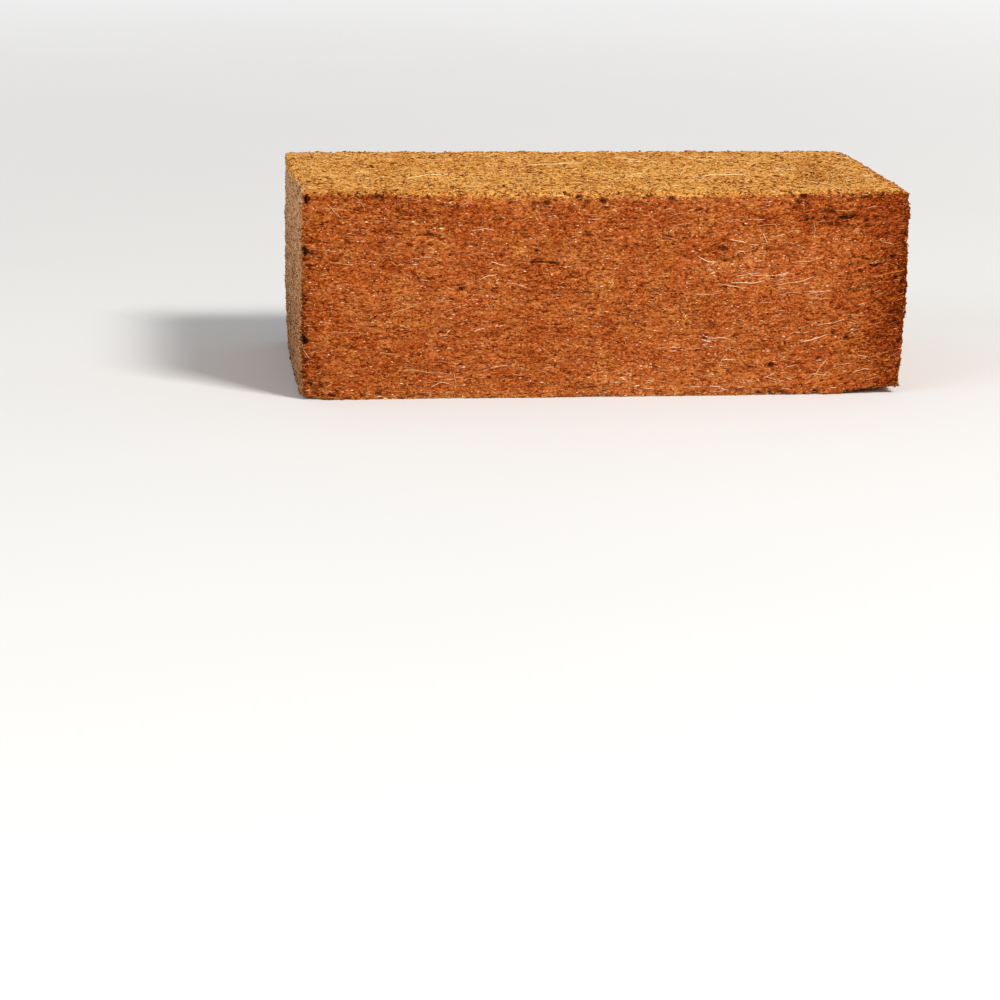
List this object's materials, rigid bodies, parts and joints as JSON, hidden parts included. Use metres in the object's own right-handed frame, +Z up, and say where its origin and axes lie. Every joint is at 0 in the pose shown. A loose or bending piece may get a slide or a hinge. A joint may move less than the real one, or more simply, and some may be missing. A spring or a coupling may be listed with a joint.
{
  "type": "coconut coir bale",
  "caption": "Compressed bale of coconut coir: a worn, matt brown brick of pith and short fibre that lies flat on its underside.",
  "frame": {"origin": "middle of the underside, at the height of the surface the bale lies on", "axes": "+X along the length, +Y through the depth from the front to the back, +Z up, the way the bale was pressed"},
  "size_m": [0.3, 0.155, 0.102],
  "materials": {
    "pressed_coir": "matt pressed fibre, darker in pits and cracks, paler on the platen faces"
  },
  "bodies": {
    "root": {"coir_bale": "pressed_coir"}
  },
  "joints": []
}
